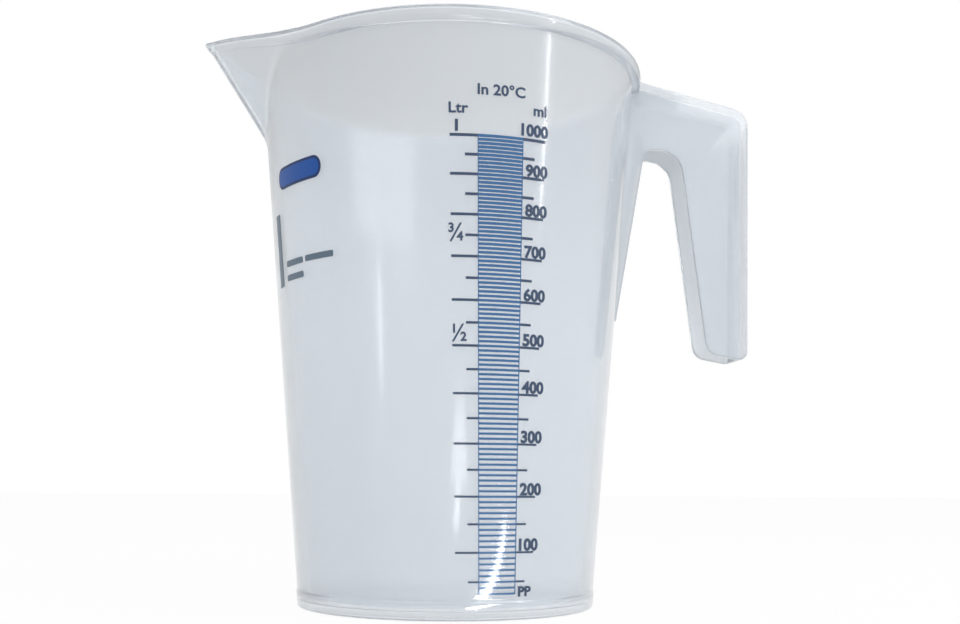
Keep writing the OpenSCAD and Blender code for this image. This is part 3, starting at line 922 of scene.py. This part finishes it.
@dataclass
class Ruling:
    """A row of printed marks whose heights follow the volume of the cone below them."""

    name: str
    marks: int
    first: float
    step: float
    anchor: float
    short: float
    long: float
    growth: Growth = Growth.RIGHT
    sizes: JugSizes = SIZES
    ink: PrintSizes = PRINT

    @staticmethod
    def tree() -> NodeTree:
        """Makes the node tree that all rulings share.

        Returns:
            A tree that places curved bars of ink on the cone, one for each division.
        """
        tree = bpy.data.node_groups.new("volume_ruling", "GeometryNodeTree")
        kinds = {"Marks": "NodeSocketInt", "Ink": "NodeSocketMaterial"}
        for name in ("Marks", "First", "Step", "Divisions", "Floor Height", "Floor Radius", "Full Radius",
                     "Table Radius", "Taper", "Line Height", "Line Growth", "Ink Depth", "Ink Total",
                     "Anchor", "Short", "Long", "Long Every", "Growth", "Lean", "Lean Middle", "Ink"):
            tree.interface.new_socket(name=name, in_out="INPUT",
                                      socket_type=kinds.get(name, "NodeSocketFloat"))
        tree.interface.new_socket(name="Geometry", in_out="OUTPUT", socket_type="NodeSocketGeometry")
        given = add(tree, "NodeGroupInput").outputs
        # each bar starts as a box whose x holds its number and, within half a step, its depth
        line = add(tree, "GeometryNodeMeshLine", {
            "Count": given["Marks"], "Start Location": (0, 0, 0), "Offset": (1, 0, 0)}, mode="OFFSET")
        bar = add(tree, "GeometryNodeMeshCube", {
            "Size": (0.5, 1, 1), "Vertices X": 2, "Vertices Y": 9, "Vertices Z": 2})
        bars = add(tree, "GeometryNodeInstanceOnPoints", {
            "Points": line.outputs[0], "Instance": bar.outputs[0]})
        real = add(tree, "GeometryNodeRealizeInstances", {0: bars.outputs[0]})
        here = add(tree, "GeometryNodeInputPosition")
        part = add(tree, "ShaderNodeSeparateXYZ", {0: here.outputs[0]}).outputs
        known = dict(given.items(), across=part[0], along=part[1], up=part[2])
        # each sum has a name, a kind and its terms: numbers, inputs of the tree or sums before it
        for name, operation, *terms in (
                ("number", "ROUND", "across"),
                ("off", "SUBTRACT", "across", "number"),
                ("depth", "MULTIPLY_ADD", "off", 2.0, 0.5),
                # a share of the volume stands where the cone's radius cubed has grown by that share
                ("division", "MULTIPLY_ADD", "number", "Step", "First"),
                ("share", "DIVIDE", "division", "Divisions"),
                ("floor_cube", "POWER", "Floor Radius", 3.0),
                ("full_cube", "POWER", "Full Radius", 3.0),
                ("cube_gain", "SUBTRACT", "full_cube", "floor_cube"),
                ("cube", "MULTIPLY_ADD", "share", "cube_gain", "floor_cube"),
                ("level_radius", "POWER", "cube", 1 / 3),
                ("radius_gain", "SUBTRACT", "level_radius", "Floor Radius"),
                ("rise", "DIVIDE", "radius_gain", "Taper"),
                ("level", "ADD", "rise", "Floor Height"),
                # the bar's face lies on the cone
                ("thick", "MULTIPLY_ADD", "level", "Line Growth", "Line Height"),
                ("height", "MULTIPLY_ADD", "up", "thick", "level"),
                ("wall", "MULTIPLY_ADD", "height", "Taper", "Table Radius"),
                ("sunk", "SUBTRACT", "wall", "Ink Depth"),
                ("radius", "MULTIPLY_ADD", "depth", "Ink Total", "sunk"),
                # a bar is long where Long Every divides its division
                ("left_over", "FLOORED_MODULO", "division", "Long Every"),
                ("is_long", "LESS_THAN", "left_over", 0.5),
                ("extra", "SUBTRACT", "Long", "Short"),
                ("width", "MULTIPLY_ADD", "is_long", "extra", "Short"),
                # a bar that grows to the left has its anchor at its right end
                ("from_left", "ADD", "along", 0.5),
                ("grown", "SUBTRACT", "from_left", "Growth"),
                ("angle", "MULTIPLY_ADD", "grown", "width", "Anchor"),
                # the whole print leans on the wall
                ("above", "SUBTRACT", "height", "Lean Middle"),
                ("slant", "MULTIPLY", "above", "Lean"),
                ("drift", "DIVIDE", "slant", "wall"),
                ("leant", "SUBTRACT", "angle", "drift"),
                ("cosine", "COSINE", "leant"),
                ("sine", "SINE", "leant"),
                ("x", "MULTIPLY", "radius", "cosine"),
                ("y", "MULTIPLY", "radius", "sine")):
            inputs = {i: known.get(term, term) for i, term in enumerate(terms)}
            known[name] = add(tree, "ShaderNodeMath", inputs, operation=operation).outputs[0]
        place = add(tree, "ShaderNodeCombineXYZ", {0: known["x"], 1: known["y"], 2: known["height"]})
        wrapped = add(tree, "GeometryNodeSetPosition", {
            "Geometry": real.outputs[0], "Position": place.outputs[0]})
        # the export drops instances, so the bars end as real faces with their ink
        solid = add(tree, "GeometryNodeRealizeInstances", {0: wrapped.outputs[0]})
        inked = add(tree, "GeometryNodeSetMaterial", {
            "Geometry": solid.outputs[0], "Material": given["Ink"]})
        add(tree, "NodeGroupOutput", {0: inked.outputs[0]})
        return tree

    def build(self, tree: NodeTree, material: Material, *nodes: str) -> None:
        """Runs the tree for this row of marks and keeps the result as a plain mesh.

        Args:
            tree: The tree from tree().
            material: The ink.
            *nodes: Solids that the row stands for.
        """
        s, ink = self.sizes, self.ink
        values = {
            "Marks": self.marks, "First": self.first, "Step": self.step, "Divisions": s.divisions,
            "Floor Height": s.floor_top * MM, "Floor Radius": (s.wall_r(s.floor_top) - s.wall_t) * MM,
            "Full Radius": (s.wall_r(s.full_mark) - s.wall_t) * MM, "Table Radius": s.base_d / 2 * MM,
            "Taper": s.taper, "Line Height": ink.line_h * MM,
            "Line Growth": ink.line_growth, "Ink Depth": ink.ink_depth * MM,
            "Ink Total": (ink.ink_t + ink.ink_depth) * MM, "Anchor": math.radians(self.anchor),
            "Short": math.radians(self.short), "Long": math.radians(self.long),
            "Long Every": ink.mark_step, "Growth": self.growth.value,
            "Lean": math.tan(math.radians(ink.lean_deg)), "Lean Middle": ink.lean_middle * MM,
            "Ink": material}
        seed = new_object(self.name, bpy.data.meshes.new(self.name))
        modifier = seed.modifiers.new("ruling", "NODES")
        modifier.node_group = tree
        for item in tree.interface.items_tree:
            if item.in_out == "INPUT":
                value = values[item.name]
                modifier[item.identifier] = float(value) if item.socket_type == "NodeSocketFloat" else value
        mesh = final_mesh(seed)
        smooth(mesh)
        seed.modifiers.clear()
        seed.data = mesh
        settle(seed, Slot.SCALE, *nodes)


def wrap_on_cone(flat: np.ndarray, direction: float, along: float, base: float,
                 lean_deg: float = 0.0) -> np.ndarray:
    """Lays flat points on the wall.

    Args:
        flat: Points with x along the wall, y up and z from 0 at the back to 1 at the front.
        direction: Direction in degrees that x is counted from.
        along: Distance added to x.
        base: Height of y = 0.
        lean_deg: How far the print leans on the wall.

    Returns:
        Points in the jug's frame.
    """
    z = base + flat[:, 1]
    wall = SIZES.wall_r(z)
    drift = math.tan(math.radians(lean_deg)) * (z - PRINT.lean_middle)
    angle = math.radians(direction) + (along + flat[:, 0] - drift) / wall
    r = wall - PRINT.ink_depth + flat[:, 2] * (PRINT.ink_t + PRINT.ink_depth)
    return np.stack([r * np.cos(angle), r * np.sin(angle), z], axis=1)


@dataclass
class Lettering:
    """Words and numerals printed on the wall."""

    name: str
    ink: PrintSizes = PRINT
    weight: float = 0.038
    cap_share: float = 0.729
    verts: list[np.ndarray] = field(default_factory=list)
    faces: list[list[int]] = field(default_factory=list)

    def word(self, text: str, size: float, direction: float, along: float, z: float,
             stretch: float = 1.1) -> None:
        """Adds a word.

        Args:
            text: What it says.
            size: Height of its tall signs.
            direction: Direction that its place is counted from.
            along: Distance from there to its left edge.
            z: Height of its base line.
            stretch: Its length as a share of the font's own.
        """
        curve = bpy.data.curves.new("word", "FONT")
        curve.body = text
        curve.size = 1
        curve.offset = self.weight
        curve.extrude = 0.5
        curve.resolution_u = 3
        made = new_object("word", curve)
        mesh = final_mesh(made)
        flat = np.array([v.co for v in mesh.vertices])
        # the built-in font's capitals are cap_share of its size
        flat[:, 0] = (flat[:, 0] - flat[:, 0].min()) * size / self.cap_share * stretch
        flat[:, 1] *= size / self.cap_share
        flat[:, 2] += curve.extrude
        start = sum(len(v) for v in self.verts)
        self.verts.append(wrap_on_cone(flat, direction, along, z, self.ink.lean_deg))
        self.faces += [[start + i for i in p.vertices] for p in mesh.polygons]
        bpy.data.objects.remove(made)
        bpy.data.curves.remove(curve)
        bpy.data.meshes.remove(mesh)

    def build(self, material: Material, slot: Slot, *nodes: str) -> None:
        """Makes one piece of all the words added so far."""
        settle(piece_from(self.name, np.concatenate(self.verts), self.faces, material), slot, *nodes)


@dataclass(frozen=True)
class FractionMark:
    """A share of a litre printed left of the ladder, with its place from the ladder's edge and its line."""

    text: str
    share: float
    size: float
    along: float
    lift: float
    stretch: float
    weight: float


FRACTIONS = (FractionMark("1", 1.0, 3.3, -6.3, 0.7, 1.3, 0.024),
             FractionMark("¾", 0.75, 5.0, -8.1, -1.9, 0.86, 0.013),
             FractionMark("½", 0.5, 4.8, -7.2, 0.95, 0.9, 0.013))


@dataclass
class InkPatch:
    """A patch of ink on the cone, between two directions in degrees and two heights."""

    left: float
    right: float
    low: float
    high: float
    corner: float = 0.0
    lean_deg: float = 0.0
    raised: float = 0.0
    corner_points: int = 5
    facet: float = 0.8
    least_edge: float = 0.01

    def mesh(self, start: int) -> tuple[np.ndarray, list[list[int]]]:
        """Points and faces of the patch.

        Args:
            start: Number of the first point.

        Returns:
            Points in millimetres and faces.
        """
        mid_r = SIZES.wall_r((self.low + self.high) / 2)
        width = math.radians(self.right - self.left) * mid_r
        height = self.high - self.low
        steps = max(2, int(width / self.facet))
        xs = list(np.linspace(0, width, steps + 1))
        if self.corner:
            bends = np.linspace(0, math.pi / 2, self.corner_points)
            extra = [self.corner * (1 - math.cos(bend)) for bend in bends]
            xs = sorted(set(xs) | set(extra) | {width - e for e in extra})
        flat = []
        for x in xs:
            edge = min(x, width - x)
            cut = 0.0
            if self.corner and edge < self.corner:
                cut = self.corner - math.sqrt(max(self.corner ** 2 - (self.corner - edge) ** 2, 0))
            cut = min(cut, height / 2 - self.least_edge)
            back, front = self.raised, 1 + self.raised
            flat += [(x, cut, back), (x, cut, front), (x, height - cut, front), (x, height - cut, back)]
        count = len(xs)
        faces = []
        for i in range(count - 1):
            a, b = start + 4 * i, start + 4 * (i + 1)
            faces += [[a + k, a + (k + 1) % 4, b + (k + 1) % 4, b + k] for k in range(4)]
        faces += [[start + k for k in range(4)], [start + 4 * (count - 1) + k for k in range(4)]]
        return wrap_on_cone(np.array(flat), self.left, 0, self.low, self.lean_deg), faces


def patches(name: str, parts: Sequence[InkPatch], material: Material, slot: Slot,
            *nodes: str) -> None:
    """Makes one piece of several patches of ink.

    Args:
        name: The piece's name.
        parts: The patches.
        material: The ink.
        slot: The record's slot.
        *nodes: Solids that the piece stands for.
    """
    verts: list[np.ndarray] = []
    faces: list[list[int]] = []
    for part in parts:
        made, joined = part.mesh(sum(len(v) for v in verts))
        verts.append(made)
        faces += joined
    settle(piece_from(name, np.concatenate(verts), faces, material), slot, *nodes)


@dataclass
class PrintedScale:
    """The litre and millilitre scale with its numerals and headings."""

    sizes: JugSizes = SIZES
    ink: PrintSizes = PRINT

    def build(self, finishes: Finishes) -> None:
        """Builds and dresses the whole scale.

        Args:
            finishes: The finishes.
        """
        s, p = self.sizes, self.ink
        tree = Ruling.tree()
        inside = 2 * (p.ladder_half_angle - p.rail_angle)
        Ruling("printed_scale_lines", s.divisions - s.first_division + 1, s.first_division, 1,
               p.left + p.rail_angle, inside, inside).build(tree, finishes.scale, "scale_lines")
        ticks, half = 2 * s.divisions // p.mark_step, p.mark_step / 2
        Ruling("printed_litre_ticks", ticks, half, half, p.left, p.short_tick_angle, p.long_tick_angle,
               Growth.LEFT).build(tree, finishes.numeral, "litre_ticks")
        Ruling("printed_millilitre_ticks", ticks, half, half, p.right, p.short_tick_angle,
               p.numeral_tick_angle).build(tree, finishes.numeral, "millilitre_ticks")
        lowest = s.mark_h(s.first_division / s.divisions)
        low = lowest - p.line_at(lowest) / 2
        high = s.full_mark + p.line_at(s.full_mark) / 2
        rails = [InkPatch(a, a + p.rail_angle, low, high, lean_deg=p.lean_deg)
                 for a in (p.left, p.right - p.rail_angle)]
        patches("printed_scale_rails", rails, finishes.scale, Slot.SCALE, "scale_rails")
        self.build_words(finishes)

    def build_words(self, finishes: Finishes) -> None:
        """Prints the numerals, fractions, headings and small marks.

        Args:
            finishes: The finishes.
        """
        s, p = self.sizes, self.ink
        numerals = Lettering("printed_millilitre_numerals")
        for i in range(p.mark_step, s.divisions + 1, p.mark_step):
            line = s.mark_h(i / s.divisions)
            along, lift = p.full_numeral_shift if i == s.divisions else (p.numeral_clearance, 0.0)
            numerals.word(str(i * p.division_ml), p.numeral_h, p.right, along,
                          line + p.line_at(line) / 2 + p.numeral_lift + lift, p.numeral_stretch)
        numerals.build(finishes.numeral, Slot.NUMERAL, "millilitre_numerals")
        fractions = Lettering("printed_litre_fractions")
        for mark in FRACTIONS:
            line = s.mark_h(mark.share)
            fractions.weight = mark.weight
            fractions.word(mark.text, mark.size, p.left, mark.along,
                           line + p.line_at(line) / 2 + mark.lift, mark.stretch)
        fractions.build(finishes.numeral, Slot.NUMERAL, "litre_fractions")
        units = Lettering("printed_unit_headings", weight=p.heading_weight)
        for text, direction, (along, lift) in (
                ("Ltr", p.left - p.long_tick_angle, p.litre_shift),
                ("ml", p.right + p.short_tick_angle, p.millilitre_shift)):
            units.word(text, p.heading_h, direction, along, s.full_mark + lift)
        units.build(finishes.numeral, Slot.NUMERAL, "unit_marks")
        temperature = Lettering("printed_temperature_mark", weight=p.heading_weight)
        temperature.word("In 20°C", p.heading_h, p.left, 0, s.full_mark + p.temperature_lift)
        temperature.build(finishes.numeral, Slot.NUMERAL, "temperature_mark")
        material = Lettering("printed_material_mark")
        material.word("PP", p.material_h, p.right, p.numeral_clearance, s.foot_h + p.material_lift)
        material.build(finishes.numeral, Slot.NUMERAL, "material_mark")


@dataclass
class MarkingPanel:
    """The second printed field: a header bar, an upright rule and rows of plain bars.

    Directions and the widths of rule and bars are in degrees, heights in millimetres.
    """

    sizes: JugSizes = SIZES
    angle: float = -160.0
    header_angle: float = 24.0
    drop: float = 43.5
    header_h: float = 6.5
    header_corner: float = 3.1
    header_border: float = 0.8
    face_raised: float = 0.3
    rule_start: float = -5.4
    rule_angle: float = 3.6
    rule_h: float = 22.0
    row_angle: float = 2.4
    short_bar: float = 10.8
    long_bar: float = 12.8
    bar_gap: float = 1.5
    bar_h: float = 1.8
    bar_corner: float = 0.4
    row_pitch: float = 4.2

    def build(self, finishes: Finishes) -> None:
        """Builds and dresses the panel.

        Args:
            finishes: The finishes.
        """
        header = self.sizes.body_h - self.drop
        low = header - self.header_h - self.rule_h
        row = low + self.bar_h / 2
        upper = row + self.row_pitch
        a = self.angle
        start = a + self.row_angle
        patches("printed_panel_header",
                [InkPatch(a, a + self.header_angle, header, header + self.header_h, self.header_corner)],
                finishes.panel_border, Slot.PANEL, "marking_panel")
        edge = self.header_border
        edge_angle = math.degrees(edge / self.sizes.wall_r(header))
        patches("printed_panel_header_face",
                [InkPatch(a + edge_angle, a + self.header_angle - edge_angle, header + edge,
                          header + self.header_h - edge, self.header_corner - edge,
                          raised=self.face_raised)],
                finishes.panel, Slot.PANEL, "marking_panel")
        rule = a + self.rule_start
        far = start + self.short_bar + self.bar_gap
        bars = [InkPatch(rule, rule + self.rule_angle, low, header - self.header_h)]
        for left, span, z in ((start, self.short_bar, row), (start, self.short_bar, upper),
                              (far, self.long_bar, upper)):
            bars.append(InkPatch(left, left + span, z, z + self.bar_h, self.bar_corner))
        patches("printed_panel_rows", bars, finishes.panel_text, Slot.PANEL, "marking_panel")


# Studio


@dataclass(frozen=True)
class Softbox:
    """A soft lamp round the jug; its azimuth is counted to the right of the camera.

    Lengths are in metres and angles in degrees.
    """

    name: str
    azimuth: float
    elevation: float
    distance: float
    width: float
    height: float
    radiance: float
    aim_z: float = 0.09

    def build(self, camera_azimuth: float) -> None:
        """Hangs the lamp.

        Args:
            camera_azimuth: Direction of the camera seen from the jug, in degrees.
        """
        data = bpy.data.lights.new(self.name, "AREA")
        data.shape = "RECTANGLE"
        data.size, data.size_y = self.width, self.height
        data.energy = self.radiance * math.pi * self.width * self.height
        lamp = new_object(self.name, data)
        a, e = math.radians(camera_azimuth + self.azimuth), math.radians(self.elevation)
        aim = Vector((0, 0, self.aim_z))
        away = Vector((math.cos(a) * math.cos(e), math.sin(a) * math.cos(e), math.sin(e)))
        lamp.location = aim + away * self.distance
        lamp.rotation_euler = (-away).to_track_quat("-Z", "Y").to_euler()


@dataclass(frozen=True)
class TableGlint:
    """A bright strip lying on the table before the jug, seen only where the wall mirrors it.

    Start, end and width are in millimetres on the table.
    """

    name: str
    start: tuple[float, float]
    end: tuple[float, float]
    width: float
    radiance: float
    lift: float = 0.8

    def build(self) -> None:
        """Lays the strip."""
        start, end = Vector((*self.start, self.lift)) * MM, Vector((*self.end, self.lift)) * MM
        data = bpy.data.lights.new(self.name, "AREA")
        data.shape = "RECTANGLE"
        data.size, data.size_y = (end - start).length, self.width * MM
        data.energy = self.radiance * math.pi * data.size * data.size_y
        lamp = new_object(self.name, data)
        along, down = (end - start).normalized(), Vector((0, 0, -1))
        turn = Matrix((along, down.cross(along), down)).transposed()
        lamp.matrix_world = Matrix.Translation((start + end) / 2) @ turn.to_4x4()
        lamp.visible_diffuse = lamp.visible_transmission = False


@dataclass
class Studio:
    """Camera, floor, world and lamps.

    Lengths are in metres where their name has no other unit. The azimuth is in degrees, pitch and
    roll are in radians.
    """

    azimuth: float = -96.0
    distance: float = 0.3584
    height: float = 0.0368
    pitch: float = 0.1099
    roll: float = 0.0065
    focal_px: float = 1131.2
    centre_px: tuple[float, float] = (446.4, 360.6)
    picture_px: tuple[int, int] = (960, 624)
    sensor_mm: float = 36.0
    nearest: float = 0.01
    farthest: float = 50.0
    ceiling: float = 0.56
    ceiling_from: float = 0.12
    ceiling_to: float = 0.36
    floor_half_mm: float = 4000.0
    light_bounces: int = 24
    lamps: tuple[Softbox, ...] = (
        Softbox("softbox_left", -43, -1.5, 0.9, 0.03, 0.12, 5.0),
        Softbox("softbox_right", 58.5, 16, 0.9, 0.016, 0.3, 18.0),
        Softbox("softbox_key", 50, 40, 1.0, 0.8, 0.6, 2.6),
        Softbox("softbox_top", 0, 80, 0.9, 0.9, 0.9, 0.7),
    )
    glints: tuple[TableGlint, ...] = (
        TableGlint("glint_scale", (4, -55), (92, -149), 4.5, 34.0),
        TableGlint("glint_narrow", (0, -160), (10, -260), 12, 6.0),
        TableGlint("glint_wide", (12, -262), (34, -660), 55, 4.0),
    )

    def build_camera(self) -> None:
        """Sets the camera where the photograph was taken from."""
        data = bpy.data.cameras.new("camera")
        wide, high = self.picture_px
        data.sensor_width = self.sensor_mm
        data.lens = self.focal_px * data.sensor_width / wide
        data.shift_x = (wide / 2 - self.centre_px[0]) / wide
        data.shift_y = (self.centre_px[1] - high / 2) / wide
        data.clip_start, data.clip_end = self.nearest, self.farthest
        a = math.radians(self.azimuth)
        place = Vector((math.cos(a) * self.distance, math.sin(a) * self.distance, self.height))
        flat = Vector((-math.cos(a), -math.sin(a), 0))
        forward = flat * math.cos(self.pitch) + Vector((0, 0, math.sin(self.pitch)))
        level_right = forward.cross(Vector((0, 0, 1))).normalized()
        level_up = level_right.cross(forward)
        right = level_right * math.cos(self.roll) + level_up * math.sin(self.roll)
        up = level_up * math.cos(self.roll) - level_right * math.sin(self.roll)
        camera = new_object("camera", data)
        turn = Matrix((right, up, -forward)).transposed()
        camera.matrix_world = Matrix.Translation(place) @ turn.to_4x4()
        bpy.context.scene.camera = camera

    def build_world(self) -> None:
        """Makes the soft light all round: dimmer overhead, and white where the camera sees it."""
        world = bpy.data.worlds.new("studio")
        world.use_nodes = True
        tree = world.node_tree
        tree.nodes.clear()
        ray = add(tree, "ShaderNodeLightPath").outputs
        place = add(tree, "ShaderNodeTexCoord").outputs["Generated"]
        up = add(tree, "ShaderNodeSeparateXYZ", {0: place}).outputs[2]
        fade = add(tree, "ShaderNodeMapRange", {
            "Value": up, "From Min": self.ceiling_from, "From Max": self.ceiling_to, "To Min": 1.0,
            "To Max": self.ceiling}, interpolation_type="SMOOTHSTEP")
        strength = add(tree, "ShaderNodeMix", {
            0: ray["Is Camera Ray"], 2: fade.outputs[0], 3: 1.0}, data_type="FLOAT")
        light = add(tree, "ShaderNodeBackground", {
            "Color": (1, 1, 1, 1), "Strength": strength.outputs[0]})
        add(tree, "ShaderNodeOutputWorld", {"Surface": light.outputs[0]})
        bpy.context.scene.world = world

    def build_floor(self) -> None:
        """Lays the paper that the jug stands on."""
        half = self.floor_half_mm
        corners = np.array([[-half, -half, 0], [half, -half, 0], [half, half, 0], [-half, half, 0]])
        mesh = bpy.data.meshes.new("floor")
        mesh.from_pydata([tuple(c) for c in corners * MM], [], [[0, 1, 2, 3]])
        mesh.materials.append(PaperSweep().build())
        floor = new_object("floor", mesh)
        floor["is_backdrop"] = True

    def build(self) -> None:
        """Builds the whole studio."""
        scene = bpy.context.scene
        scene.view_settings.view_transform = "Standard"
        # light crosses many thin walls before it leaves milky plastic
        scene.cycles.max_bounces = self.light_bounces
        scene.cycles.diffuse_bounces = self.light_bounces // 2
        scene.cycles.glossy_bounces = self.light_bounces // 2
        scene.cycles.transmission_bounces = self.light_bounces
        self.build_camera()
        self.build_world()
        self.build_floor()
        for lamp in self.lamps:
            lamp.build(self.azimuth)
        for glint in self.glints:
            glint.build()


def main() -> None:
    """Builds the studio and every piece of the jug, then notes the two boxes."""
    logging.basicConfig(level=logging.INFO, format="%(name)s: %(message)s")
    Studio().build()
    finishes = Finishes()
    Shell().build(finishes)
    Handle().build(finishes)
    PrintedScale().build(finishes)
    MarkingPanel().build(finishes)
    sizes = {"cad": [list(c) for c in CAD_BOX], "visual": [list(c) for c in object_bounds()]}
    for side in ("cad", "visual"):
        low, high = sizes[side]
        LOG.info("%s box mm: %s to %s", side, [round(v / MM, 2) for v in low],
                 [round(v / MM, 2) for v in high])


if __name__ == "__main__":
    main()
